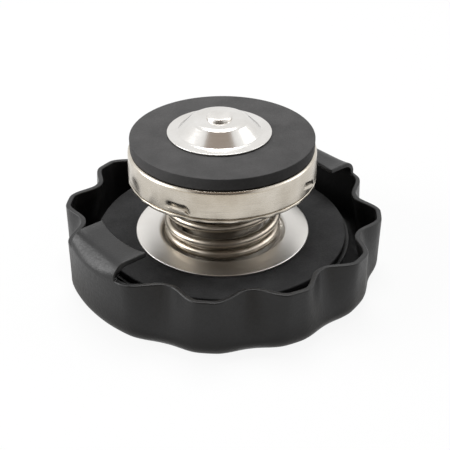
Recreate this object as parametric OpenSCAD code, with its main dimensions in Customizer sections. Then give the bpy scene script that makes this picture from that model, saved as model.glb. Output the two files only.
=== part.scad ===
// Radiator cap, standing on its crown with the valve stack upwards.
// Millimetres. The axis of the cap is Z and the crown's outer face is z = 0.

/* [Shell] */
// Radius over the grip lobes
shell_r = 37.5; // [36.5:0.1:39]
// Depth of the grip dents at the rim
dent_depth = 4.2; // [1.5:0.1:5]
// Depth of the grip dents beside the crown
dent_foot = 0.1; // [0:0.1:2]
// Number of grip lobes around the skirt
lobes = 12; // [10:2:14]
// Sheet thickness of the shell
sheet = 1.2; // [0.9:0.1:1.4]
// Height of the wavy rim above the crown face
skirt_h = 15.4; // [14:0.1:16.5]
// Rounding between the crown and the skirt
edge_r = 4; // [2.5:0.1:5]
// Radius of the pressed recess in the crown
recess_r = 14; // [13:0.1:16]

/* [Cam ears] */
// Direction of the first ear, in degrees from +X
ear_turn = 40; // [0:0.5:90]
// Width of each ear
ear_w = 16.6; // [12:0.1:18]
// Height of the ears above the crown face
ear_top = 19.1; // [17.8:0.1:20]
// Radius of the ears' inner edge
ear_inner_r = 29.2; // [27.5:0.1:31]
// Outer radius of the bend at the top of the ears
ear_bend = 3.4; // [2.5:0.1:4.2]
// How far the middle of an ear dips below its ends
ear_dip = 0.5; // [0:0.1:1.6]

/* [Neck seal] */
// Outer radius of the rubber gasket that seals on the neck
gasket_r = 29.5; // [28:0.1:30.5]
// Thickness of that gasket
gasket_t = 1.6; // [1.2:0.1:2]
// How far the gasket's outer edge is lifted by the sprung disc
gasket_lift = 0.9; // [0:0.1:1.4]
// How far the sprung disc under the gasket shows past its edge
disc_lip = 0.8; // [0.3:0.1:0.9]
// Thickness of the sprung disc
disc_t = 0.6; // [0.4:0.1:0.8]

/* [Spring dish] */
// Radius of the steel dish under the main spring
dish_r = 20.7; // [18.5:0.1:23]
// Sheet thickness of the dish
dish_t = 0.6; // [0.5:0.1:0.8]

/* [Pressure valve] */
// Radius of the pressure seal
seal_r = 21; // [19:0.1:22.5]
// Thickness of the pressure seal
seal_t = 2.9; // [2:0.1:3.6]
// How far the valve cup stands out past the seal
cup_bulge = 0.7; // [0.4:0.1:1.5]
// Height of the valve cup
cup_h = 7.4; // [7:0.1:9]
// Sheet thickness of the cup
cup_t = 0.6; // [0.5:0.1:0.7]
// Rounding at the cup's lower edge
cup_round = 0.8; // [0.8:0.1:1.2]
// Number of stakes that lock the spring plate in the cup
stakes = 4; // [2:1:6]

/* [Main spring] */
// Wire thickness of the main spring
wire = 2.3; // [1.8:0.1:2.6]
// Mean radius of the main spring's coils
coil_r = 12.7; // [11.4:0.1:13.2]
// Number of turns of the main spring
turns = 4.3; // [3.4:0.1:5]
// Length of the main spring
spring_h = 16.4; // [15:0.1:18]

/* [Vacuum valve] */
// Radius of the vacuum valve's flange
vac_r = 11.9; // [11:0.1:13]
// Radius of the flat top of the vacuum valve
vac_top_r = 6.3; // [5:0.1:7.5]
// Height of the vacuum valve above the seal
vac_h = 3.65; // [2.5:0.05:4.5]
// How far the loose vacuum valve lies off the axis, along X
vac_x = -0.65; // [-0.8:0.05:0.8]
// How far the loose vacuum valve lies off the axis, along Y
vac_y = 0.75; // [-0.8:0.05:0.8]
// Radius of the vacuum valve's stem
stem_r = 1.6; // [1.2:0.1:1.8]
// Wire thickness of the vacuum spring
vac_wire = 0.6; // [0.4:0.1:0.8]
// Number of turns of the vacuum spring
vac_turns = 4; // [3:0.5:5]

/* [Hidden] */
$fn = 96;
run_gap = 0.05;
cut = 1;

// heights, from the crown up
disc_z = 7.4;
gasket_z = disc_z + disc_t;
flange_z = gasket_z + gasket_t;
well_z = gasket_z + dish_t;
spring_top = well_z + spring_h;
plate_t = 0.8;
cup_z = spring_top - cup_t;
cup_top = cup_z + cup_h;
seal_top = cup_top + seal_t;
vac_t = 0.5;
vac_top = seal_top + vac_h;
washer_t = 0.6;
vac_spring_h = 5.2;
washer_z = cup_top - cup_t - vac_spring_h - washer_t;

// shell
pitch = 360 / lobes;
lobe_flat = 0.09;
lobe_foot = 0.48;
ear_half = asin(ear_w / 2 / shell_r);
regular_steps = 10;
flank_steps = 5;
ramp_steps = 3;
ear_steps = 6;
ear_ramp = 1.6;
fillet_steps = 4;
path_steps = 7;
tip_round = 0.35;
rim_band = 2.4;
path_z = skirt_h - rim_band;
recess_draft = 3.4;
land_r = recess_r - recess_draft;
land_z = disc_z - sheet;
bend_mid = ear_bend - sheet / 2;
rise_len = ear_top - ear_bend - path_z;
arc_len = bend_mid * PI / 2;
shelf_len = shell_r - ear_bend - ear_inner_r;
ear_rise = ear_top - sheet - skirt_h;
dip_share = 0.7;
dip_power = 4;
dip = min(ear_dip, dip_share * ear_rise);
rim_len = skirt_h - path_z - tip_round;
ear_len = rise_len + arc_len + shelf_len - tip_round;

// rivet
rivet_r = 3;
rivet_head_r = 5.4;
rivet_head_t = 1.3;
rivet_edge = 0.5;
rivet_crown = 1.2;

// dish
well_play = 0.15;
well_r = coil_r + wire / 2 + well_play;
roll_w = 0.9;
roll_steps = 8;

// spring plate
plate_play = 0.15;

// retainer
tube_t = 0.6;
tube_r = 9.8;
tube_round = 1;
lip_r = 11.3;

// cup
cup_r = seal_r + cup_bulge;
cup_flare = 0.5;
cup_neck_r = seal_r + cup_flare;
cup_top_round = 0.75;
lip_w = 3.4;
lip_inner_r = cup_r - lip_w;
stem_play = 1.25;
bead_h = 0.85;
crease_r = 0.2;
stake_turn = 237;
stake_span = 14;
stake_r = 1.1;
stake_lift = 1.7;
stake_z = spring_top + plate_t + stake_lift;
stake_depth = 1;
stake_end = asin(cup_t / cup_r);

// neck gasket
rubber_edge = 0.4;
gasket_play = 0.4;
cone_play = 0.3;
cone_r = dish_r + cone_play;

// coils
coil_close = 0.9;
close_most = 0.4;
coil_start = 150;
coil_slices = 28;
coil_sides = 10;
vac_slices = 20;
vac_sides = 8;

// seal and vacuum valve
seal_edge = 0.3;
head_edge = 0.3;
seal_bore_r = 8.6;
vac_flange_w = 2.2;
vac_foot_r = vac_r - vac_flange_w;
vac_foot_round = 0.9;
vac_top_round = 1.2;
round_steps = 6;
vac_head_r = 2.9;
vac_head_t = 0.75;
stem_end_r = 2.4;
stem_end_t = 0.6;
washer_r = 5;
vac_coil_r = 4.2;
vac_place = [vac_x, vac_y, 0];

function smooth(x) = let (c = min(max(x, 0), 1)) c * c * (3 - 2 * c);

// the points of an arc of radius r that rounds off corner b between points a and c of a section
function rounded(a, b, c, r) =
    let (u = (a - b) / norm(a - b), v = (c - b) / norm(c - b))
    let (half = acos(u * v) / 2)
    let (mid = b + (u + v) / norm(u + v) * r / sin(half))
    let (first = b + u * r / tan(half) - mid, last = b + v * r / tan(half) - mid)
    let (start = atan2(first[1], first[0]), gap = atan2(last[1], last[0]) - start)
    let (turn = (gap % 360 + 540) % 360 - 180)
    [for (i = [0:round_steps])
        let (d = start + turn * i / round_steps)
        mid + [r * cos(d), r * sin(d)]];

// how much of a dent there is at angle a, measured from the ears' centre line
function dent(a) =
    let (d = abs(((a + 90) % 180 + 180) % 180 - 90))
    let (m = (d + pitch / 2) % pitch)
    let (beside = max(0, d - ear_half) / (pitch - ear_half) / 2)
    let (q = d < pitch ? beside : min(m, pitch - m) / pitch)
    smooth((q - lobe_flat) / (lobe_foot - lobe_flat));

function skirt_r(a, z) = shell_r - dent(a) * (dent_foot + (dent_depth - dent_foot) * z / skirt_h);

// a point on the middle of the sheet, s along it from path_z: [inset, z, direction in degrees]
function sheet_at(s) =
    s <= rise_len ? [sheet / 2, path_z + s, 90]
    : s <= rise_len + arc_len
    ? let (b = (s - rise_len) / arc_len * 90)
        [ear_bend - bend_mid * cos(b), ear_top - ear_bend + bend_mid * sin(b), 90 + b]
    : [ear_bend + s - rise_len - arc_len, ear_top - sheet / 2, 180];

function side_at(s, off) =
    let (m = sheet_at(s))
    [m[0] - off * sin(m[2]), m[1] - off * cos(m[2])];

function tip_at(s) =
    let (m = sheet_at(s))
    [m[0] - tip_round * cos(m[2]), m[1] + tip_round * sin(m[2])];

// the section of the shell at angle a; grow is 0 at the plain rim and 1 at a full ear
function section(a, grow) =
    let (len = rim_len + grow * (ear_len - rim_len))
    let (foot = skirt_r(a, edge_r), mid_z = (edge_r + path_z) / 2, in_r = edge_r - sheet)
    let (outer = [for (i = [0:path_steps]) side_at(len * i / path_steps, sheet / 2)])
    let (inner = [for (i = [path_steps:-1:0]) side_at(len * i / path_steps, -sheet / 2)])
    let (turned = concat(outer, [tip_at(len)], inner))
    concat(
        [for (i = [0:fillet_steps])
            let (b = i / fillet_steps * 90)
            [foot - edge_r + edge_r * sin(b), edge_r - edge_r * cos(b)]],
        [[skirt_r(a, mid_z), mid_z]],
        [for (q = turned) [skirt_r(a, min(q[1], skirt_h)) - q[0], q[1]]],
        [[skirt_r(a, mid_z) - sheet, mid_z]],
        [for (i = [fillet_steps:-1:0])
            let (b = i / fillet_steps * 90)
            [foot - edge_r + in_r * sin(b), edge_r - in_r * cos(b)]]
    );

// stations around the shell: [angle from the ear's centre line, grow]
ear_stations = concat(
    [for (i = [0:flank_steps - 1]) [-pitch + (pitch - ear_half) * i / flank_steps, 0]],
    [for (i = [0:ramp_steps]) [-ear_half + ear_ramp * i / ramp_steps, i / ramp_steps]],
    [for (i = [1:ear_steps - 1])
        [-ear_half + ear_ramp + 2 * (ear_half - ear_ramp) * i / ear_steps, 1]],
    [for (i = [0:ramp_steps]) [ear_half - ear_ramp + ear_ramp * i / ramp_steps, 1 - i / ramp_steps]],
    [for (i = [1:flank_steps - 1]) [ear_half + (pitch - ear_half) * i / flank_steps, 0]]
);
plain_lobes = lobes / 2 - 2;
plain_stations = [for (k = [0:plain_lobes - 1], i = [0:regular_steps - 1])
    [pitch + (k + i / regular_steps) * pitch, 0]];
half_stations = concat(ear_stations, plain_stations);
stations = [for (h = [0, 180], s = half_stations) [s[0] + h, s[1]]];

function off_centre(station) = station[0] - (station[0] > 90 ? 180 : 0);

function on_ear(station, q) = q[1] > skirt_h && abs(off_centre(station)) < pitch;

// an ear keeps its width inwards, is bent along a straight line and is lower in its middle than at its ends
function ear_point(d, q) =
    let (share = min(1, (q[1] - skirt_h) / ear_rise))
    let (fade = min(1, max(0, (q[0] - ear_inner_r) / shelf_len)))
    let (bow = max(0, shell_r * (cos(d) - cos(ear_half))))
    let (side = shell_r * sin(d), ahead = sqrt(q[0] * q[0] - side * side) - bow * share * fade)
    let (middle = max(0, 1 - pow(d / ear_half, dip_power)))
    [norm([ahead, side]), q[1] - dip * share * middle, atan2(side, ahead)];

// radius, height and angle of a point of the section at a station
function placed(station, q) =
    let (d = off_centre(station))
    let (e = on_ear(station, q) ? ear_point(d, q) : [q[0], q[1], d])
    [e[0], e[1], e[2] + station[0] - d + ear_turn];

module skirt_and_crown() {
    rows = [for (s = stations) section(s[0], s[1])];
    n = len(stations);
    m = len(rows[0]);
    points = [for (i = [0:n - 1], q = rows[i])
        let (e = placed(stations[i], q))
        [e[0] * cos(e[2]), e[0] * sin(e[2]), e[1]]];
    walls = [for (i = [0:n - 1], j = [0:m - 2], half = [0, 1])
        let (k = (i + 1) % n)
        half == 0 ? [i * m + j, i * m + j + 1, k * m + j + 1]
        : [i * m + j, k * m + j + 1, k * m + j]];
    crown = [for (i = [0:n - 1]) i * m];
    floor_face = [for (i = [n - 1:-1:0]) i * m + m - 1];
    polyhedron(points, concat(walls, [crown, floor_face]), convexity = 8);
}

module frustum(r0, r1, z0, z1) {
    translate([0, 0, z0]) cylinder(h = z1 - z0, r1 = r0, r2 = r1);
}

module cap_shell() {
    color("#17181a")
    difference() {
        union() {
            skirt_and_crown();
            frustum(recess_r + sheet, land_r + sheet, sheet / 2, disc_z);
        }
        frustum(recess_r + cut * (recess_r - land_r) / land_z, land_r, -cut, land_z);
        cylinder(h = disc_z + cut, r = rivet_r);
    }
}

module centre_rivet() {
    head_z = well_z + tube_t + run_gap;
    color("#b9b4aa")
    rotate_extrude()
    polygon([[0, land_z - rivet_head_t], [rivet_head_r - rivet_edge, land_z - rivet_head_t],
        [rivet_head_r, land_z - rivet_head_t + rivet_edge], [rivet_head_r, land_z], [rivet_r, land_z],
        [rivet_r, head_z], [rivet_head_r, head_z], [rivet_head_r, head_z + rivet_edge],
        [rivet_head_r - rivet_crown, head_z + rivet_head_t], [0, head_z + rivet_head_t]]);
}

module ring(r0, r1, z, h) {
    rotate_extrude() translate([r0, z]) square([r1 - r0, h]);
}

// how far the sprung disc has lifted at radius r
function lift(r) = max(0, r - cone_r) / (gasket_r - cone_r) * gasket_lift;

module sprung_disc() {
    bore_r = rivet_r + run_gap;
    edge_r = gasket_r + disc_lip;
    color("#8f8d88")
    rotate_extrude()
    polygon([[bore_r, disc_z], [cone_r, disc_z], [edge_r, disc_z + lift(edge_r)],
        [edge_r, gasket_z + lift(edge_r)], [cone_r, gasket_z], [bore_r, gasket_z]]);
}

module neck_gasket() {
    inner_r = well_r + roll_w + gasket_play;
    rim = gasket_r - rubber_edge;
    low = gasket_z + lift(gasket_r);
    high = flange_z + lift(gasket_r);
    color("#2b2b2d")
    rotate_extrude()
    polygon([[inner_r, gasket_z], [cone_r, gasket_z], [rim, gasket_z + lift(rim)],
        [gasket_r, low + rubber_edge], [gasket_r, high - rubber_edge], [rim, flange_z + lift(rim)],
        [cone_r, flange_z], [inner_r, flange_z]]);
}

module spring_dish() {
    roll = [for (i = [0:roll_steps])
        [well_r + roll_w * i / roll_steps, (flange_z - gasket_z) * smooth(i / roll_steps)]];
    top = [for (q = roll) [q[0], well_z + q[1]]];
    under = [for (i = [roll_steps:-1:0]) [roll[i][0], gasket_z + roll[i][1]]];
    edge = dish_t / 3;
    color("#c9c6bf")
    rotate_extrude()
    polygon(concat([[rivet_r + run_gap, gasket_z], [rivet_r + run_gap, well_z]], top,
        [[dish_r - edge, flange_z + dish_t], [dish_r, flange_z + dish_t - edge],
            [dish_r, flange_z + edge], [dish_r - edge, flange_z]], under));
}

module valve_retainer() {
    lip_z = spring_top + plate_t;
    round_out = tube_round + tube_t;
    foot_c = [tube_r - round_out, well_z + round_out];
    color("#a9a59c")
    rotate_extrude()
    union() {
        translate([rivet_r + run_gap, well_z]) square([foot_c[0] - rivet_r - run_gap, tube_t]);
        translate([tube_r - tube_t, foot_c[1]]) square([tube_t, lip_z + tube_t - foot_c[1]]);
        translate([tube_r - tube_t / 2, lip_z]) square([lip_r - tube_r + tube_t / 2, tube_t]);
        intersection() {
            translate(foot_c)
            difference() {
                circle(r = round_out);
                circle(r = tube_round);
            }
            translate([foot_c[0], well_z]) square(round_out);
        }
    }
}

// a round wire wound into a coil whose end turns lie close
module coil(mean_r, wire_t, count, z0, height, start, slices, sides) {
    n = ceil(count * slices);
    rise = height - wire_t;
    room = (1 / count - wire_t / rise) * 2 * PI / sin(360 / count);
    close = min(close_most, max(0, coil_close * room));
    points = [for (i = [0:n], j = [0:sides - 1])
        let (s = i / n, a = start + 360 * count * s, b = 360 * j / sides - 90)
        let (z = z0 + wire_t / 2 + rise * (s - close * sin(360 * s) / (2 * PI)))
        let (r = mean_r + wire_t / 2 * cos(b))
        [r * cos(a), r * sin(a), z + wire_t / 2 * sin(b)]];
    walls = [for (i = [0:n - 1], j = [0:sides - 1], half = [0, 1])
        let (k = (j + 1) % sides)
        half == 0 ? [i * sides + j, (i + 1) * sides + k, i * sides + k]
        : [i * sides + j, (i + 1) * sides + j, (i + 1) * sides + k]];
    first_end = [for (j = [0:sides - 1]) j];
    last_end = [for (j = [sides - 1:-1:0]) n * sides + j];
    polyhedron(points, concat(walls, [first_end, last_end]), convexity = 12);
}

module main_spring() {
    color("#9c968a")
    coil(coil_r, wire, turns, well_z, spring_h, coil_start, coil_slices, coil_sides);
}

module spring_plate() {
    bore_r = tube_r + run_gap;
    plate_r = cup_r - cup_t - plate_play;
    edge = cup_round - cup_t;
    color("#aaa59b")
    rotate_extrude()
    polygon([[bore_r, spring_top], [plate_r - edge, spring_top], [plate_r, spring_top + edge],
        [plate_r, spring_top + plate_t], [bore_r, spring_top + plate_t]]);
}

// the cup's outline in section, set in by off from its outside
module cup_outline(off) {
    low_c = [cup_r - cup_round, cup_z + cup_round];
    top_c = [cup_neck_r - cup_top_round, cup_top - cup_top_round];
    translate([0, cup_z + off]) square([low_c[0], cup_round - off]);
    polygon([[0, low_c[1]], [cup_r - off, low_c[1]], [cup_neck_r - off, top_c[1]], [0, top_c[1]]]);
    translate([0, top_c[1]]) square([top_c[0], cup_top_round - off]);
    translate(low_c) circle(r = cup_round - off);
    translate(top_c) circle(r = cup_top_round - off);
}

// stakes all round, pressed in from outside; grow and more give the metal behind and beyond a stake
module stake_ring(grow, more) {
    for (i = [0:stakes - 1])
        rotate(stake_turn - more + 360 / stakes * i)
        rotate_extrude(angle = stake_span + 2 * more)
        translate([cup_r + stake_r - stake_depth, stake_z]) circle(r = stake_r + grow);
}

module valve_cup() {
    color("#b8b1a3")
    difference() {
        union() {
            difference() {
                rotate_extrude()
                difference() {
                    cup_outline(0);
                    cup_outline(cup_t);
                    translate([0, cup_z - cut]) square([lip_inner_r, cut + cup_t * 2]);
                    translate([cup_r, cup_z + bead_h]) circle(r = crease_r);
                }
                cylinder(h = cup_top + cut, r = stem_r + stem_play);
            }
            intersection() {
                stake_ring(cup_t, stake_end);
                rotate_extrude() cup_outline(cup_t / 2);
            }
        }
        stake_ring(0, 0);
    }
}

module pressure_seal() {
    color("#333335")
    rotate_extrude()
    polygon([[seal_bore_r, cup_top], [seal_r - seal_edge - cup_top_round / 2, cup_top],
        [seal_r, cup_top + seal_edge], [seal_r, seal_top - seal_edge], [seal_r - seal_edge, seal_top],
        [seal_bore_r, seal_top]]);
}

module vacuum_valve() {
    edge = [vac_r, seal_top + vac_t];
    foot = [vac_foot_r, seal_top + vac_t];
    top = [vac_top_r, vac_top];
    top_end = [stem_r, vac_top];
    under_end = [stem_r, vac_top - vac_t];
    under = [vac_top_r - vac_t, vac_top - vac_t];
    mouth = [vac_foot_r - vac_t, seal_top];
    color("#d6d3cb")
    translate(vac_place)
    rotate_extrude()
    polygon(concat([[vac_r, seal_top], edge], rounded(edge, foot, top, vac_foot_round),
        rounded(foot, top, top_end, vac_top_round), [top_end, under_end],
        rounded(under_end, under, mouth, vac_top_round - vac_t), [mouth]));
}

module vacuum_stem() {
    end_z = washer_z - stem_end_t;
    color("#c4c0b7")
    translate(vac_place)
    rotate_extrude()
    polygon([[0, end_z], [stem_end_r - head_edge, end_z], [stem_end_r, end_z + head_edge],
        [stem_end_r, washer_z], [stem_r, washer_z], [stem_r, vac_top], [vac_head_r, vac_top],
        [vac_head_r, vac_top + head_edge], [vac_head_r - head_edge, vac_top + vac_head_t],
        [0, vac_top + vac_head_t]]);
}

module vacuum_spring() {
    low = washer_z + washer_t;
    color("#b5b0a6")
    translate(vac_place)
    coil(vac_coil_r, vac_wire, vac_turns, low, cup_top - cup_t - low, coil_start, vac_slices, vac_sides);
}

module stem_washer() {
    color("#a8a49b") translate(vac_place) ring(stem_r, washer_r, washer_z, washer_t);
}

cap_shell();
centre_rivet();
sprung_disc();
neck_gasket();
spring_dish();
valve_retainer();
main_spring();
spring_plate();
valve_cup();
pressure_seal();
vacuum_valve();
vacuum_stem();
vacuum_spring();
stem_washer();
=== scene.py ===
import math

import bmesh
import bpy
from mathutils import Matrix, Vector


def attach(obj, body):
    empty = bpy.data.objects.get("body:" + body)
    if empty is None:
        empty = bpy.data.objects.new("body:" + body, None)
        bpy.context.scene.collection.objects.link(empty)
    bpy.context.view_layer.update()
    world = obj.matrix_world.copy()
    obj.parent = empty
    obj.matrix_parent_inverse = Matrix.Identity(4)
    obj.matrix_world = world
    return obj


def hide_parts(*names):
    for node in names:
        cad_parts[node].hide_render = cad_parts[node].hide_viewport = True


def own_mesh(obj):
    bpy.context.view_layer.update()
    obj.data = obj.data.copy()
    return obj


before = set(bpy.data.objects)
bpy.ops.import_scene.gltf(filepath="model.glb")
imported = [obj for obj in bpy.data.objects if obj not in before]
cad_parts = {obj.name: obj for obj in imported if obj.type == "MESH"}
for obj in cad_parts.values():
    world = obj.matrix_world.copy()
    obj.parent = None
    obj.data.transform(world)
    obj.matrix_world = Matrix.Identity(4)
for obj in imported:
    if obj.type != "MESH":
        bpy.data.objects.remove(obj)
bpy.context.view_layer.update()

mm = 0.001  # pieces are modelled in millimetres and scaled down at the end
slack = 0.01  # heights, reaches and angles that differ by less count as the same
upAxis = (0, 0, 1)
middle = (0, 0, 0)
valveOffset = (-0.65, 0.75)  # the loose vacuum valve has settled to one side
scene = bpy.context.scene
scene.view_settings.view_transform = "Standard"


# ways of working that several pieces share

def smoothStep(x):
    c = min(max(x, 0.0), 1.0)
    return c * c * (3 - 2 * c)


def turnFrom(angle, centre):  # signed degrees from centre, -180 to 180
    return (angle - centre + 180) % 360 - 180


def degreesOf(co):
    return math.degrees(math.atan2(co.y, co.x)) % 360


def setRadius(vert, radius):
    flat = math.hypot(vert.co.x, vert.co.y)
    vert.co.x *= radius / flat
    vert.co.y *= radius / flat


def drawProfile(points, rounds, closed):  # (radius, height) points, corners in rounds get an arc
    bm = bmesh.new()
    verts = [bm.verts.new((r, 0, z)) for r, z in points]
    ends = verts[1:] + verts[:1] if closed else verts[1:]
    for a, b in zip(verts, ends):
        bm.edges.new((a, b))
    for corner, (reach, segments) in rounds.items():
        bmesh.ops.bevel(bm, geom=[verts[corner]], offset=reach, offset_type="OFFSET", segments=segments,
                        profile=0.5, affect="VERTICES", material=-1)
    return bm


def splitLong(bm, edges, longest):  # cuts the straight runs of a profile, to be pushed about later
    for edge in edges:
        cuts = int(edge.calc_length() / longest)
        if cuts:
            bmesh.ops.subdivide_edges(bm, edges=[edge], cuts=cuts)


def growRow(bm, edges):  # extrudes a row of edges, and gives its new vertices and edges
    grown = bmesh.ops.extrude_edge_only(bm, edges=edges)["geom"]
    fresh = {g for g in grown if isinstance(g, bmesh.types.BMVert)}
    return fresh, [g for g in grown if isinstance(g, bmesh.types.BMEdge) and set(g.verts) <= fresh]


def spinRound(bm, steps):
    bmesh.ops.spin(bm, geom=bm.verts[:] + bm.edges[:], cent=middle, axis=upAxis, angle=2 * math.pi,
                   steps=steps, use_merge=True)
    bmesh.ops.remove_doubles(bm, verts=bm.verts[:], dist=0.0005)
    bmesh.ops.recalc_face_normals(bm, faces=bm.faces[:])


def faceOutwards(bm, isOuter):  # an open sheet has no inside, so one face that is known to look out decides
    probe = next(f for f in bm.faces if isOuter(f.calc_center_median()))
    out = probe.calc_center_median()
    if probe.normal.x * out.x + probe.normal.y * out.y < 0:
        bmesh.ops.reverse_faces(bm, faces=bm.faces[:])


def finishPiece(bm, name, finish, body, node, sharpFrom=38):
    bmesh.ops.scale(bm, vec=(mm, mm, mm), verts=bm.verts[:])
    mesh = bpy.data.meshes.new(name)
    bm.to_mesh(mesh)
    bm.free()
    mesh.shade_smooth()
    mesh.set_sharp_from_angle(angle=math.radians(sharpFrom))
    mesh.materials.append(finish)
    piece = bpy.data.objects.new(name, mesh)
    scene.collection.objects.link(piece)
    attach(piece, body)
    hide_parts(node)
    print("made", name, len(mesh.polygons), "faces")
    return piece


# finishes

class Finish:
    def __init__(self, name, **settings):
        self.material = bpy.data.materials.new(name)
        self.material.use_nodes = True
        self.tree = self.material.node_tree
        self.shader = self.tree.nodes["Principled BSDF"]
        for socket, value in settings.items():
            self.shader.inputs[socket.replace("_", " ")].default_value = value
        self.place = self.node("ShaderNodeTexCoord").outputs["Object"]

    def node(self, kind, **settings):
        made = self.tree.nodes.new(kind)
        for key, value in settings.items():
            setattr(made, key, value)
        return made

    def join(self, source, target):
        self.tree.links.new(source, target)

    def speckle(self, size, detail=4.0, stretch=(1, 1, 1)):  # noise whose grains are size metres across
        mapping = self.node("ShaderNodeMapping")
        mapping.inputs["Scale"].default_value = stretch
        noise = self.node("ShaderNodeTexNoise")
        noise.inputs["Scale"].default_value = 1 / size
        noise.inputs["Detail"].default_value = detail
        self.join(self.place, mapping.inputs["Vector"])
        self.join(mapping.outputs["Vector"], noise.inputs["Vector"])
        return noise.outputs["Fac"]

    def rings(self, size, detail=3.0, centre=(0, 0, 0)):  # lines round the axis, size metres apart
        shift = self.node("ShaderNodeVectorMath", operation="SUBTRACT")
        shift.inputs[1].default_value = centre
        flat = self.node("ShaderNodeVectorMath", operation="MULTIPLY")
        flat.inputs[1].default_value = (1, 1, 0)
        reach = self.node("ShaderNodeVectorMath", operation="LENGTH")
        noise = self.node("ShaderNodeTexNoise", noise_dimensions="1D")
        noise.inputs["Scale"].default_value = 1 / size
        noise.inputs["Detail"].default_value = detail
        self.join(self.place, shift.inputs[0])
        self.join(shift.outputs[0], flat.inputs[0])
        self.join(flat.outputs[0], reach.inputs[0])
        self.join(reach.outputs["Value"], noise.inputs["W"])
        return noise.outputs["Fac"]

    def level(self, source, low, high, start=0.3, end=0.7):  # spreads a noise from low to high
        spread = self.node("ShaderNodeMapRange")
        for socket, value in zip(("From Min", "From Max", "To Min", "To Max"), (start, end, low, high)):
            spread.inputs[socket].default_value = value
        self.join(source, spread.inputs["Value"])
        return spread.outputs["Result"]

    def colour(self, source, dark, light, start=0.3, end=0.7):
        ramp = self.node("ShaderNodeValToRGB")
        for stop, place, tint in zip(ramp.color_ramp.elements, (start, end), (dark, light)):
            stop.position = place
            stop.color = (*tint, 1)
        self.join(source, ramp.inputs["Fac"])
        self.join(ramp.outputs["Color"], self.shader.inputs["Base Color"])

    def rough(self, source, low, high, start=0.3, end=0.7):
        self.join(self.level(source, low, high, start, end), self.shader.inputs["Roughness"])

    def bump(self, source, height, strength=1.0, under=None):
        bump = self.node("ShaderNodeBump")
        bump.inputs["Strength"].default_value = strength
        bump.inputs["Distance"].default_value = height
        self.join(source, bump.inputs["Height"])
        if under is not None:
            self.join(under, bump.inputs["Normal"])
        self.join(bump.outputs["Normal"], self.shader.inputs["Normal"])
        return bump.outputs["Normal"]


def blackCoat():  # satin stoved paint with a very fine orange peel
    coat = Finish("satinBlackCoat", Specular_IOR_Level=0.38)
    peel = coat.speckle(0.0006, 3)
    cloud = coat.speckle(0.012, 3)
    grain = coat.speckle(0.0008, 5)
    coat.colour(cloud, (0.007, 0.007, 0.0072), (0.012, 0.0118, 0.012))
    coat.rough(grain, 0.32, 0.44)
    coat.bump(peel, 0.00005)
    return coat.material


def rubber(name, dark, light, ringSize):
    soft = Finish(name, Specular_IOR_Level=0.15)
    grain = soft.speckle(0.0004, 5)
    bloom = soft.speckle(0.006, 4)
    turned = soft.rings(ringSize)
    soft.colour(bloom, dark, light)
    soft.rough(grain, 0.62, 0.82)
    under = soft.bump(turned, 0.00003, 0.5)
    soft.bump(grain, 0.00012, 0.7, under)
    return soft.material


def turnedMetal(name, dark, light, low, high, ringSize, centre=(0, 0, 0)):  # with lines round its axis
    metal = Finish(name, Metallic=1.0)
    lines = metal.rings(ringSize, 4, centre)
    stain = metal.speckle(0.005, 4)
    metal.colour(stain, dark, light)
    metal.rough(lines, low, high)
    metal.bump(lines, 0.0000015, 0.4)
    return metal.material


def drawnMetal(name, dark, light, low, high):  # lines along the sheet as it was drawn, with faint stains
    metal = Finish(name, Metallic=1.0)
    lines = metal.speckle(0.0012, 4, (0.25, 0.25, 6))
    stain = metal.speckle(0.004, 5)
    metal.colour(stain, dark, light)
    metal.rough(lines, low, high)
    metal.bump(stain, 0.00004, 0.4)
    return metal.material


finishes = {
    "black": blackCoat(),
    "gasket": rubber("gasketRubber", (0.025, 0.025, 0.0255), (0.045, 0.045, 0.046), 0.0006),
    "seal": rubber("sealRubber", (0.066, 0.065, 0.065), (0.092, 0.09, 0.09), 0.0009),
    "dish": turnedMetal("satinDish", (0.74, 0.715, 0.68), (0.78, 0.76, 0.725), 0.31, 0.35, 0.0003),
    "wire": drawnMetal("springWire", (0.38, 0.335, 0.275), (0.56, 0.505, 0.43), 0.26, 0.36),
    "cup": drawnMetal("drawnCup", (0.52, 0.475, 0.405), (0.62, 0.575, 0.505), 0.20, 0.30),
    "hat": turnedMetal("brightHat", (0.70, 0.68, 0.65), (0.77, 0.755, 0.73), 0.19, 0.24, 0.0002,
                       (valveOffset[0] * mm, valveOffset[1] * mm, 0)),
    "stem": drawnMetal("stemSteel", (0.66, 0.64, 0.61), (0.80, 0.78, 0.75), 0.2, 0.32),
    "inner": drawnMetal("plainSteel", (0.42, 0.40, 0.37), (0.56, 0.54, 0.50), 0.26, 0.42),
    "disc": turnedMetal("discSteel", (0.03, 0.03, 0.03), (0.05, 0.05, 0.05), 0.42, 0.6, 0.0005),
}
print("finishes ready:", len(finishes))


# pressed shell: crown, wavy skirt and two ears bent in over the neck's cams

shell = {
    "radius": 37.5,
    "rimDent": 4.2,  # depth of the grip dents at the rim
    "footDent": 0.1,  # and beside the crown
    "lobes": 12,
    "sheet": 1.2,
    "rim": 15.4,
    "crownRound": 4.0,
    "recess": (14.0, 10.6, 6.2),  # mouth radius, floor radius, depth
    "recessRounds": ((1.2, 5), (1.6, 6)),  # floor and mouth: reach and steps
    "rivetHole": 3.0,
    "lobeFlat": 0.09,  # where a dent begins, as a share of the pitch from the middle of a lobe
    "lobeFoot": 0.48,  # and where it is deepest
    "earTurn": 40,
    "earHalf": 13,  # degrees at the skirt; the sides of an ear run straight in from there
    "earTop": 19.1,
    "earDip": 0.5,  # an ear is lower in its middle than at its ends
    "dipPower": 4,
    "earBend": 3.4,
    "earInner": 29.2,
    "edgeRound": 0.32,
    "roundSteps": 10,  # these last five say how finely the sheet is cut
    "wallCuts": 9,
    "bendSteps": 8,
    "shelfSteps": 6,
    "spinSteps": 360,
}


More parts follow.
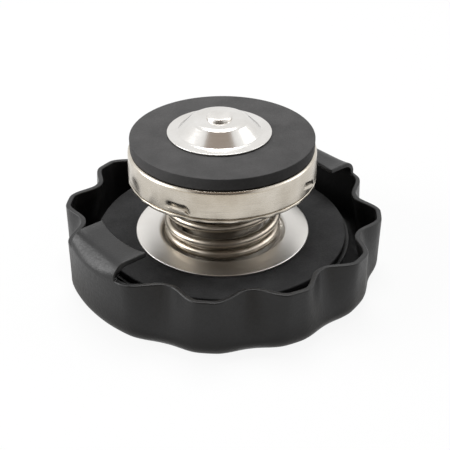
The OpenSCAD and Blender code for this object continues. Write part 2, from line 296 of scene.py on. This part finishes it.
def dentAt(angle):
    pitch = 360 / shell["lobes"]
    away = abs((angle - shell["earTurn"] + 90) % 180 - 90)
    if away < pitch:
        share = max(0, away - shell["earHalf"]) / (pitch - shell["earHalf"]) / 2
    else:
        part = (away + pitch / 2) % pitch
        share = min(part, pitch - part) / pitch
    return smoothStep((share - shell["lobeFlat"]) / (shell["lobeFoot"] - shell["lobeFlat"]))


def makeShell():
    radius, rim, fold = shell["radius"], shell["rim"], shell["crownRound"]
    mouth, floor, depth = shell["recess"]
    points = [(shell["rivetHole"], depth), (floor, depth), (mouth, 0), (radius, 0), (radius, rim)]
    floorRound, mouthRound = shell["recessRounds"]
    bm = drawProfile(points, {1: floorRound, 2: mouthRound, 3: (fold, shell["roundSteps"])}, False)
    wall = [e for e in bm.edges if min(v.co.x for v in e.verts) > radius - slack]
    bmesh.ops.subdivide_edges(bm, edges=wall, cuts=shell["wallCuts"])
    spinRound(bm, shell["spinSteps"])
    faceOutwards(bm, lambda c: c.z > fold and math.hypot(c.x, c.y) > mouth + 1)

    for vert in bm.verts:  # wavy grip
        flat = math.hypot(vert.co.x, vert.co.y)
        if flat > radius - fold - slack:
            rise = max(vert.co.z, fold) / rim
            dent = shell["footDent"] + (shell["rimDent"] - shell["footDent"]) * rise
            setRadius(vert, flat - dentAt(degreesOf(vert.co)) * dent)

    bend, earTop = shell["earBend"], shell["earTop"]
    path = [(0, earTop - bend)]  # how far in and how high each row of an ear is
    for step in range(1, shell["bendSteps"] + 1):
        turn = math.pi / 2 * step / shell["bendSteps"]
        path.append((bend - bend * math.cos(turn), earTop - bend + bend * math.sin(turn)))
    shelf = radius - bend - shell["earInner"]
    for step in range(1, shell["shelfSteps"] + 1):
        path.append((bend + shelf * step / shell["shelfSteps"], earTop))
    rise = earTop - shell["sheet"] - rim
    earWidth = radius * math.sin(math.radians(shell["earHalf"]))
    border = [e for e in bm.edges if e.is_boundary and e.verts[0].co.z > rim - slack]
    for centre in (shell["earTurn"], shell["earTurn"] + 180):
        aim = Matrix.Rotation(math.radians(centre), 3, "Z")
        row = [e for e in border if all(
            abs(turnFrom(degreesOf(v.co), centre)) < shell["earHalf"] + slack for v in e.verts)]
        for inset, height in path:
            fresh, row = growRow(bm, row)
            for vert in fresh:  # an ear keeps its width inwards and is bent along a straight line
                across = math.hypot(vert.co.x, vert.co.y) * math.sin(
                    math.radians(turnFrom(degreesOf(vert.co), centre)))
                share = min(1, (height - rim) / rise)
                bow = math.sqrt(radius ** 2 - across ** 2) - math.sqrt(radius ** 2 - earWidth ** 2)
                fade = min(1, (radius - inset - shell["earInner"]) / shelf)
                ahead = math.sqrt((radius - inset) ** 2 - across ** 2) - max(0, bow) * share * fade
                low = shell["earDip"] * max(0, 1 - (across / earWidth) ** shell["dipPower"]) * share
                vert.co = aim @ Vector((ahead, across, height - low))

    piece = finishPiece(bm, "pressedShell", finishes["black"], "cap", "cap_shell",
                        sharpFrom=60)
    wallThickness = piece.modifiers.new("sheetWall", "SOLIDIFY")
    wallThickness.thickness = shell["sheet"] * mm
    wallThickness.offset = -1
    wallThickness.use_even_offset = True
    edgeRound = piece.modifiers.new("edgeRound", "BEVEL")
    edgeRound.width = shell["edgeRound"] * mm
    edgeRound.segments = 3
    edgeRound.limit_method = "ANGLE"
    edgeRound.angle_limit = math.radians(55)
    edgeRound.use_clamp_overlap = False  # the clamp would leave no rounding here
    edgeRound.harden_normals = True
    return piece


makeShell()


# rubber ring that seals on the neck's lip, lifted a little towards its edge

gasket = {
    "inner": 15.3,
    "outer": 29.5,
    "coneFrom": 21.0,
    "low": 8.0,
    "thick": 1.6,
    "lift": 0.9,
    "edgeRound": (0.35, 4),
    "spinSteps": 180,
}


def makeGasket():
    low, high, lift = gasket["low"], gasket["low"] + gasket["thick"], gasket["lift"]
    points = [(gasket["inner"], low), (gasket["coneFrom"], low), (gasket["outer"], low + lift),
              (gasket["outer"], high + lift), (gasket["coneFrom"], high), (gasket["inner"], high)]
    bm = drawProfile(points, {2: gasket["edgeRound"], 3: gasket["edgeRound"]}, True)
    spinRound(bm, gasket["spinSteps"])
    return finishPiece(bm, "neckGasket", finishes["gasket"], "valve_unit", "neck_gasket")


makeGasket()


# steel dish that the main spring stands in

dish = {
    "bore": 3.05,
    "well": 14.0,
    "roll": 0.9,  # how far the wall of the well leans out
    "radius": 20.7,
    "low": 8.0,
    "high": 9.6,
    "thick": 0.6,
    "wellRound": (0.5, 5),
    "lipRound": (0.7, 6),
    "edgeRounds": ((0.15, 3), (0.2, 4)),  # under and over the outer edge
    "spinSteps": 240,
}


def makeDish():
    thick, foot, lip = dish["thick"], dish["well"], dish["well"] + dish["roll"]
    points = [(dish["bore"], dish["low"]), (foot, dish["low"]), (lip, dish["high"]),
              (dish["radius"], dish["high"]), (dish["radius"], dish["high"] + thick),
              (lip, dish["high"] + thick), (foot, dish["low"] + thick), (dish["bore"], dish["low"] + thick)]
    well, (under, over) = dish["wellRound"], dish["edgeRounds"]
    bm = drawProfile(points, {1: well, 2: well, 3: under, 4: over, 5: dish["lipRound"], 6: well}, True)
    spinRound(bm, dish["spinSteps"])
    return finishPiece(bm, "springDish", finishes["dish"], "valve_unit", "spring_dish")


makeDish()


# round wire springs, end turns closed

mainSpring = {
    "wire": 2.3,
    "radius": 12.7,
    "turns": 4.3,
    "low": 8.6,
    "length": 16.4,
    "travel": 4.0,  # how much shorter it gets
    "start": 150,
    "close": 0.4,  # how much flatter the end turns lie
    "sides": 22,
    "steps": 190,
    "axis": (0, 0),
}
lightSpring = {
    "wire": 0.6,
    "radius": 4.2,
    "turns": 4,
    "low": 26.0,
    "length": 5.2,
    "travel": 1.5,
    "start": 150,
    "close": 0.4,
    "sides": 12,
    "steps": 120,
    "axis": valveOffset,
}


def windSpring(spec):
    bm = bmesh.new()
    rise = spec["length"] - spec["wire"]

    def heightAt(share):
        return rise * (share - spec["close"] * math.sin(2 * math.pi * share) / (2 * math.pi))

    bmesh.ops.create_circle(bm, cap_ends=False, radius=spec["wire"] / 2, segments=spec["sides"])
    bmesh.ops.rotate(bm, cent=middle, matrix=Matrix.Rotation(math.pi / 2, 3, "X"), verts=bm.verts[:])
    bmesh.ops.translate(bm, vec=(spec["radius"], 0, spec["low"] + spec["wire"] / 2), verts=bm.verts[:])
    bmesh.ops.rotate(bm, cent=middle, matrix=Matrix.Rotation(math.radians(spec["start"]), 3, "Z"),
                     verts=bm.verts[:])
    ends = [bm.edges[:]]
    geom = bm.verts[:] + bm.edges[:]
    for step in range(spec["steps"]):
        climb = heightAt((step + 1) / spec["steps"]) - heightAt(step / spec["steps"])
        geom = bmesh.ops.spin(bm, geom=geom, cent=middle, axis=upAxis, dvec=(0, 0, climb),
                              angle=2 * math.pi * spec["turns"] / spec["steps"], steps=1,
                              use_merge=False)["geom_last"]
    ends.append([g for g in geom if isinstance(g, bmesh.types.BMEdge)])
    for loop in ends:
        bmesh.ops.edgeloop_fill(bm, edges=loop)
    bmesh.ops.recalc_face_normals(bm, faces=bm.faces[:])
    bmesh.ops.translate(bm, vec=(*spec["axis"], 0), verts=bm.verts[:])
    return bm


def makeSprings():
    coil = finishPiece(windSpring(mainSpring), "mainCoil", finishes["wire"], "valve_unit", "main_spring")
    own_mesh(coil)
    light = finishPiece(windSpring(lightSpring), "lightCoil", finishes["wire"], "pressure_valve",
                        "vacuum_spring")
    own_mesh(light)


makeSprings()


# drawn cup of the pressure valve: its lower edge is folded in to a bead, and stakes hold the plate inside

cup = {
    "bore": 2.85,
    "neck": 21.5,
    "full": 21.7,
    "top": 31.8,
    "low": 24.4,
    "lip": 18.3,
    "thick": 0.6,
    "topRound": 0.75,
    "bead": 0.7,  # height of the folded edge
    "beadInset": 0.05,
    "beadRound": (0.14, 4),
    "crease": 0.35,  # depth of the groove over it
    "creaseHeights": (0.06, 0.2, 0.32),  # over the bead: foot and top of the crease, and the full wall
    "creaseRound": (0.16, 4),
    "stakes": [  # angle, half width, height, slant
        (244, 8.5, 26.6, 0.0),
        (334, 8.5, 26.5, 0.9),
        (64, 8.5, 26.6, 0.3),
        (154, 8.5, 26.6, 0.0),
    ],
    "stakeDepth": 0.34,
    "stakeEnd": 0.55,  # share of a stake that keeps its full depth
    "stakeHook": 0.9,  # how much lower its right end is
    "lean": 1.6,  # height over which the wall leans in above a stake
    "ledge": 0.16,
    "ridge": 0.05,
    "ridgeFade": 1.1,
    "dents": [(204, 7.0, 26.9, 0.17), (239, 4.0, 26.6, 0.14)],  # angle, half width, height, depth
    "dentHeight": 1.8,
    "clear": 1.2,  # stakes stay this far from both ends, and the folded edge is uneven up to here
    "uneven": 0.04,
    "edgeWaves": [(9, 0), (31, 40)],  # waves in a turn, and degrees that they start at
    "fineCut": 0.12,
    "coarseCut": 1.2,
    "spinSteps": 540,
}


def stakePush(across, height, slant):  # across is -1 to 1 along the stake, height is from its middle
    fold = height + slant * across + cup["stakeHook"] * smoothStep(2 * across - 1)
    ends = 1 - smoothStep((abs(across) - cup["stakeEnd"]) / (1 - cup["stakeEnd"]))
    if fold > 0:  # the wall leans in from above, down to a small ledge
        return cup["stakeDepth"] * ends * smoothStep(1 - fold / cup["lean"])
    step = smoothStep(-fold / cup["ledge"])
    fade = 1 - smoothStep((-cup["ledge"] - fold) / cup["ridgeFade"])
    return ends * (cup["stakeDepth"] * (1 - step) - cup["ridge"] * step * fade)


def cupPush(angle, height):  # how far in the wall is pushed
    push = 0.0
    for centre, half, middleHeight, slant in cup["stakes"]:
        across = turnFrom(angle, centre) / half
        if abs(across) < 1 and cup["low"] + cup["clear"] < height < cup["top"] - cup["clear"]:
            push += stakePush(across, height - middleHeight, slant)
    for centre, half, middleHeight, depth in cup["dents"]:
        along = turnFrom(angle, centre) / half
        rise = (height - middleHeight) / cup["dentHeight"]
        push += depth * math.exp(-along * along - rise * rise)
    wave = sum(math.sin(math.radians(angle * count + start)) for count, start in cup["edgeWaves"])
    return push + cup["uneven"] * wave * smoothStep((cup["low"] + cup["clear"] - height) / cup["clear"])


def makeCup():
    thick, top, low, neck, full = cup["thick"], cup["top"], cup["low"], cup["neck"], cup["full"]
    beadTop, beadReach, waist = low + cup["bead"], full - cup["beadInset"], full - cup["crease"]
    foot, head, wall = (beadTop + rise for rise in cup["creaseHeights"])
    points = [(cup["bore"], top - thick), (neck - thick, top - thick), (full - thick, low + thick),
              (cup["lip"], low + thick), (cup["lip"], low), (beadReach, low), (beadReach, beadTop),
              (waist, foot), (waist, head), (full, wall), (neck, top), (cup["bore"], top)]
    rounds = {1: (cup["topRound"] - thick, 4), 5: cup["beadRound"], 6: cup["beadRound"],
              9: cup["creaseRound"], 10: (cup["topRound"], 6)}
    bm = drawProfile(points, rounds, True)
    outerWall = [e for e in bm.edges if min(v.co.x for v in e.verts) > neck - thick / 2]
    splitLong(bm, outerWall, cup["fineCut"])
    splitLong(bm, bm.edges[:], cup["coarseCut"])
    spinRound(bm, cup["spinSteps"])
    for vert in bm.verts:
        flat = math.hypot(vert.co.x, vert.co.y)
        if flat > cup["lip"] + thick:  # the lip's inner edge and the middle of the top stay round
            setRadius(vert, flat - cupPush(degreesOf(vert.co), vert.co.z))
    return finishPiece(bm, "valveCup", finishes["cup"], "pressure_valve", "valve_cup",
                       sharpFrom=50)


makeCup()


# rubber disc that closes on the seat in the neck

seal = {
    "bore": 8.6,
    "radius": 21.0,
    "low": 31.8,
    "thick": 2.9,
    "chamfer": (0.75, 0.3),  # under the edge: inwards and up
    "edgeRound": (0.16, 4),
    "spinSteps": 240,
}


def makeSeal():
    low, high, radius = seal["low"], seal["low"] + seal["thick"], seal["radius"]
    inwards, up = seal["chamfer"]
    points = [(seal["bore"], low), (radius - inwards, low), (radius, low + up), (radius, high),
              (seal["bore"], high)]
    bm = drawProfile(points, {3: seal["edgeRound"]}, True)
    spinRound(bm, seal["spinSteps"])
    return finishPiece(bm, "sealDisc", finishes["seal"], "pressure_valve", "pressure_seal")


makeSeal()


# bright pressed hat of the vacuum valve and the head of its stem

hat = {
    "bore": 1.6,
    "flange": 11.9,
    "foot": 9.7,
    "plateau": 6.3,
    "low": 34.7,
    "top": 38.35,
    "thick": 0.5,
    "axis": (*valveOffset, 0),
    "edgeRounds": ((0.36, 6), (0.1, 3)),  # under and over the flange's edge
    "footRound": (0.4, 6),
    "plateauRounds": ((0.7, 9), (0.4, 6)),  # outside and inside
    "spinSteps": 240,
}
stem = {
    "head": 2.9,
    "headThick": 0.75,
    "headRounds": ((0.1, 2), (0.55, 8)),  # under and over its edge
    "shank": 1.6,
    "end": 2.4,
    "endRound": (0.25, 3),
    "endLow": 24.8,
    "washer": 25.4,
    "spinSteps": 96,
}


def makeHat():
    thick, low, top = hat["thick"], hat["low"], hat["top"]
    points = [(hat["foot"] - thick, low), (hat["flange"], low), (hat["flange"], low + thick),
              (hat["foot"], low + thick), (hat["plateau"], top), (hat["bore"], top),
              (hat["bore"], top - thick), (hat["plateau"] - thick, top - thick)]
    (under, over), (outside, inside) = hat["edgeRounds"], hat["plateauRounds"]
    bm = drawProfile(points, {1: under, 2: over, 3: hat["footRound"], 4: outside, 7: inside}, True)
    spinRound(bm, hat["spinSteps"])
    bmesh.ops.translate(bm, vec=hat["axis"], verts=bm.verts[:])
    return finishPiece(bm, "vacuumHat", finishes["hat"], "vacuum_unit", "vacuum_valve")


def makeStem():
    top = hat["top"]
    points = [(0, stem["endLow"]), (stem["end"], stem["endLow"]), (stem["end"], stem["washer"]),
              (stem["shank"], stem["washer"]), (stem["shank"], top), (stem["head"], top),
              (stem["head"], top + stem["headThick"]), (0, top + stem["headThick"])]
    under, over = stem["headRounds"]
    bm = drawProfile(points, {1: stem["endRound"], 5: under, 6: over}, False)
    spinRound(bm, stem["spinSteps"])
    bmesh.ops.translate(bm, vec=hat["axis"], verts=bm.verts[:])
    return finishPiece(bm, "stemRivet", finishes["stem"], "vacuum_unit", "vacuum_stem")


makeHat()
makeStem()


# solids that stay as they are, with their own finish

plainNodes = {
    "sprung_disc": "disc",
    "centre_rivet": "stem",
    "valve_retainer": "inner",
    "spring_plate": "inner",
    "stem_washer": "inner",
}
for node, finish in plainNodes.items():
    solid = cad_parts[node]
    solid.data.materials.clear()
    solid.data.materials.append(finishes[finish])
print("plain solids finished:", len(plainNodes))


# floor, light and camera

studio = {
    "floorSize": 4.0,
    "floorTints": (0.14, 0.95),  # as it lights the cap, and as it looks
    "floorGlow": 0.9,  # how much of the floor's white doesn't depend on the lamps
    "sky": 0.17,
    "lamps": [  # name, place, size, power
        ("topLamp", (0.0, 0.20, 0.73), 0.50, 3.5),
        ("leftLamp", (-0.62, -0.06, 0.30), 0.50, 3.6),
        ("rightLamp", (0.60, 0.10, 0.36), 0.45, 1.0),
    ],
    "aim": (0, 0, 0.018),
    "cardHalfWidth": 0.33,
    "cards": [  # name, (y, z) of the two long sides, tint; only shiny surfaces see them
        ("frontSheet", (-0.078, 0.001), (-0.50, 0.001), (0.78, 0.72, 0.63)),
        ("lowCard", (-0.50, 0.07), (-0.46, 0.24), (0.05, 0.042, 0.035)),
        ("midCard", (-0.46, 0.24), (-0.36, 0.55), (0.155, 0.128, 0.105)),
        ("highCard", (-0.36, 0.55), (0.02, 0.80), (0.32, 0.26, 0.215)),
    ],
    "footShadeRing": (0.036, 0.0445, 0.0005),  # painted shade at the foot, a ring seen only in shiny surfaces: inner and outer radius, height
    # colour of the painted shade ring at the foot
    "footShadeTint": (0.56, 0.55, 0.54),
}
view = {"place": (0.00062, -0.1731, 0.1205), "target": (0.00062, 0, 0.0103), "lens": 68.07, "sensor": 36}


def whiteForLook(tree):  # 1 for the rays that look straight, in a mirror or through glass
    rays = tree.nodes.new("ShaderNodeLightPath")
    last = rays.outputs["Is Camera Ray"]
    for name in ("Is Glossy Ray", "Is Transmission Ray"):
        either = tree.nodes.new("ShaderNodeMath")
        either.operation = "MAXIMUM"
        tree.links.new(last, either.inputs[0])
        tree.links.new(rays.outputs[name], either.inputs[1])
        last = either.outputs[0]
    return last


def makeFloor():
    bm = bmesh.new()
    bmesh.ops.create_grid(bm, x_segments=2, y_segments=2, size=studio["floorSize"])
    mesh = bpy.data.meshes.new("paleFloor")
    bm.to_mesh(mesh)
    bm.free()
    floor = bpy.data.objects.new("paleFloor", mesh)
    scene.collection.objects.link(floor)
    material = bpy.data.materials.new("palePaper")
    material.use_nodes = True
    tree = material.node_tree
    paper = tree.nodes["Principled BSDF"]
    look = whiteForLook(tree)
    tint = tree.nodes.new("ShaderNodeMapRange")
    for socket, value in zip(("To Min", "To Max"), studio["floorTints"]):
        tint.inputs[socket].default_value = value
    tree.links.new(look, tint.inputs["Value"])
    tree.links.new(tint.outputs["Result"], paper.inputs["Base Color"])
    paper.inputs["Roughness"].default_value = 0.9
    paper.inputs["Specular IOR Level"].default_value = 0.0
    glow = tree.nodes.new("ShaderNodeEmission")
    share = tree.nodes.new("ShaderNodeMath")
    share.operation = "MULTIPLY"
    share.inputs[1].default_value = studio["floorGlow"]
    mix = tree.nodes.new("ShaderNodeMixShader")
    tree.links.new(look, share.inputs[0])
    tree.links.new(share.outputs[0], mix.inputs["Fac"])
    tree.links.new(paper.outputs["BSDF"], mix.inputs[1])
    tree.links.new(glow.outputs["Emission"], mix.inputs[2])
    tree.links.new(mix.outputs["Shader"], tree.nodes["Material Output"].inputs["Surface"])
    mesh.materials.append(material)


def hangCard(bm, name, tint):
    mesh = bpy.data.meshes.new(name)
    bm.to_mesh(mesh)
    bm.free()
    card = bpy.data.objects.new(name, mesh)
    scene.collection.objects.link(card)
    for ray in ("camera", "diffuse", "transmission", "volume_scatter", "shadow"):
        setattr(card, "visible_" + ray, False)
    material = bpy.data.materials.new(name + "Paper")
    material.use_nodes = True
    paper = material.node_tree.nodes["Principled BSDF"]
    paper.inputs["Base Color"].default_value = (0, 0, 0, 1)
    paper.inputs["Specular IOR Level"].default_value = 0.0
    paper.inputs["Emission Color"].default_value = (*tint, 1)
    paper.inputs["Emission Strength"].default_value = 1.0
    mesh.materials.append(material)


def makeCards():  # what stands in front of the cap, and a ring of painted shade round its foot, as its coat and metal mirror them
    half = studio["cardHalfWidth"]
    for name, near, far, tint in studio["cards"]:
        bm = bmesh.new()
        side = bm.edges.new([bm.verts.new((x, *near)) for x in (-half, half)])
        fresh = growRow(bm, [side])[0]
        bmesh.ops.translate(bm, vec=(0, far[0] - near[0], far[1] - near[1]), verts=list(fresh))
        hangCard(bm, name, tint)
    # a ring of painted shade round the foot, standing in for the contact shadow in shiny surfaces
    inner, outer, height = studio["footShadeRing"]
    bm = bmesh.new()
    bmesh.ops.create_circle(bm, cap_ends=False, radius=inner, segments=96)
    fresh = growRow(bm, bm.edges[:])[0]
    bmesh.ops.scale(bm, vec=(outer / inner, outer / inner, 1), verts=list(fresh))
    bmesh.ops.translate(bm, vec=(0, 0, height), verts=bm.verts[:])
    hangCard(bm, "footShadeRing", studio["footShadeTint"])


def makeSky():
    world = bpy.data.worlds.new("paleSky")
    scene.world = world
    world.use_nodes = True
    tree = world.node_tree
    sky = tree.nodes["Background"]
    sky.inputs["Color"].default_value = (1, 1, 1, 1)
    strength = tree.nodes.new("ShaderNodeMapRange")
    strength.inputs["To Min"].default_value = studio["sky"]
    strength.inputs["To Max"].default_value = 1.0
    tree.links.new(whiteForLook(tree), strength.inputs["Value"])
    tree.links.new(strength.outputs["Result"], sky.inputs["Strength"])


def makeLamps():
    aim = Vector(studio["aim"])
    for name, place, size, power in studio["lamps"]:
        data = bpy.data.lights.new(name, "AREA")
        data.shape = "DISK"
        data.size = size
        data.energy = power
        lamp = bpy.data.objects.new(name, data)
        scene.collection.objects.link(lamp)
        lamp.location = place
        lamp.rotation_euler = (aim - Vector(place)).to_track_quat("-Z", "Y").to_euler()


def makeCamera():
    data = bpy.data.cameras.new("photoCamera")
    data.sensor_width = view["sensor"]
    data.lens = view["lens"]
    data.clip_start = 0.005
    camera = bpy.data.objects.new("photoCamera", data)
    scene.collection.objects.link(camera)
    camera.location = view["place"]
    look = Vector(view["target"]) - Vector(view["place"])
    camera.rotation_euler = look.to_track_quat("-Z", "Y").to_euler()
    scene.camera = camera


makeFloor()
makeCards()
makeSky()
makeLamps()
makeCamera()
print("studio ready")
